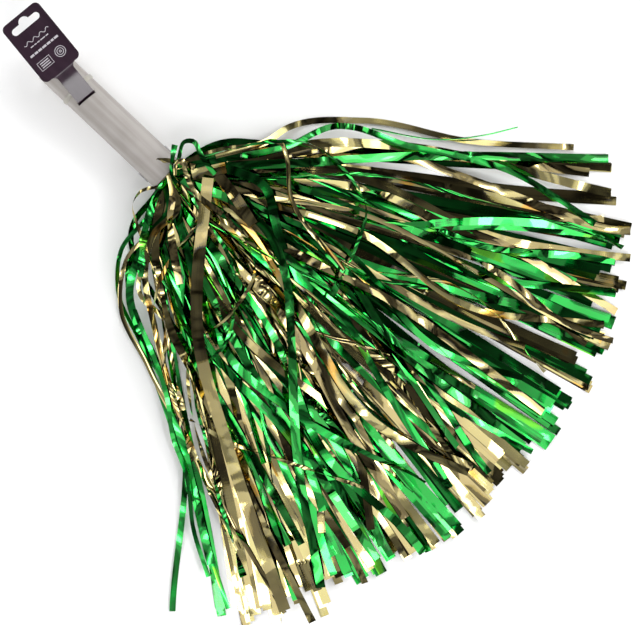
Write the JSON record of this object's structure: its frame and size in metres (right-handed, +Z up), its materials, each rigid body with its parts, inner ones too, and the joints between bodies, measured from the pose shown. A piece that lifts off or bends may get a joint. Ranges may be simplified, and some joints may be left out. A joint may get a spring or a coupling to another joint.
{
  "type": "cheer pom pom",
  "caption": "Cheerleading pom pom: fanned metallic film streamers in green and gold, gathered in a plain tube handle with a hang tag.",
  "frame": {"origin": "under the middle of the object's box, on the surface it lies on", "axes": "+X along the handle from the tag to the streamers, +Y to the left, +Z up"},
  "size_m": [0.5978, 0.5586, 0.0424],
  "materials": {
    "tube_plastic": "satin light warm-grey plastic",
    "plug_plastic": "satin grey plastic",
    "clear_elastic": "clear, slightly yellow elastic",
    "tag_plastic": null,
    "core_wood": "raw turned wood",
    "green_film": "mirror-like metallised green film",
    "gold_film": "mirror-like metallised champagne-gold film",
    "clear_tape": "clear packing tape",
    "staple_steel": "bright galvanised wire"
  },
  "bodies": {
    "handle": {"handle_tube": "tube_plastic", "end_plug": "plug_plastic", "elastic_band": "clear_elastic", "tag_tongue": "tag_plastic", "core_dowel": "core_wood", "green_header": "green_film", "gold_header": "gold_film", "header_tape": "clear_tape", "wall_staples": "staple_steel", "streamer_throat": "green_film", "middle_mat_green": "green_film", "middle_mat_gold": "gold_film"},
    "tag": {"hang_tag": "tag_plastic"},
    "middle_lock": {"middle_lock_green": "green_film", "middle_lock_gold": "gold_film"},
    "left_inner_lock": {"left_inner_lock_green": "green_film", "left_inner_lock_gold": "gold_film"},
    "left_outer_lock": {"left_outer_lock_green": "green_film", "left_outer_lock_gold": "gold_film"},
    "right_inner_lock": {"right_inner_lock_green": "green_film", "right_inner_lock_gold": "gold_film"},
    "right_outer_lock": {"right_outer_lock_green": "green_film", "right_outer_lock_gold": "gold_film"}
  },
  "joints": [
    {"name": "tag_flex", "type": "hinge", "parent": "handle", "child": "tag", "pos_m": [-0.2064, 0, 0.034], "axis": [0.1236, 0.9923, 0], "range_deg": [0, 60], "stiffness_Nm_per_rad": 0.02},
    {"name": "middle_lift", "type": "hinge", "parent": "handle", "child": "middle_lock", "pos_m": [-0.0341, 0, 0.01844], "axis": [0, -1, 0], "range_deg": [0, 50]},
    {"name": "left_sweep", "type": "hinge", "parent": "handle", "child": "left_outer_lock", "pos_m": [-0.1091, 0, 0.0171], "axis": [0, 0, 1], "range_deg": [0, 30]},
    {"name": "left_drag", "type": "hinge", "parent": "handle", "child": "left_inner_lock", "pos_m": [-0.1091, 0, 0.0171], "axis": [0, 0, 1], "range_deg": [0, 15]},
    {"name": "right_sweep", "type": "hinge", "parent": "handle", "child": "right_outer_lock", "pos_m": [-0.1091, 0, 0.0171], "axis": [0, 0, 1], "range_deg": [-30, 0]},
    {"name": "right_drag", "type": "hinge", "parent": "handle", "child": "right_inner_lock", "pos_m": [-0.1091, 0, 0.0171], "axis": [0, 0, 1], "range_deg": [-15, 0]}
  ],
  "couplings": [
    {"joint": "left_drag", "follows": "left_sweep", "ratio": 0.5},
    {"joint": "right_drag", "follows": "right_sweep", "ratio": 0.5}
  ]
}
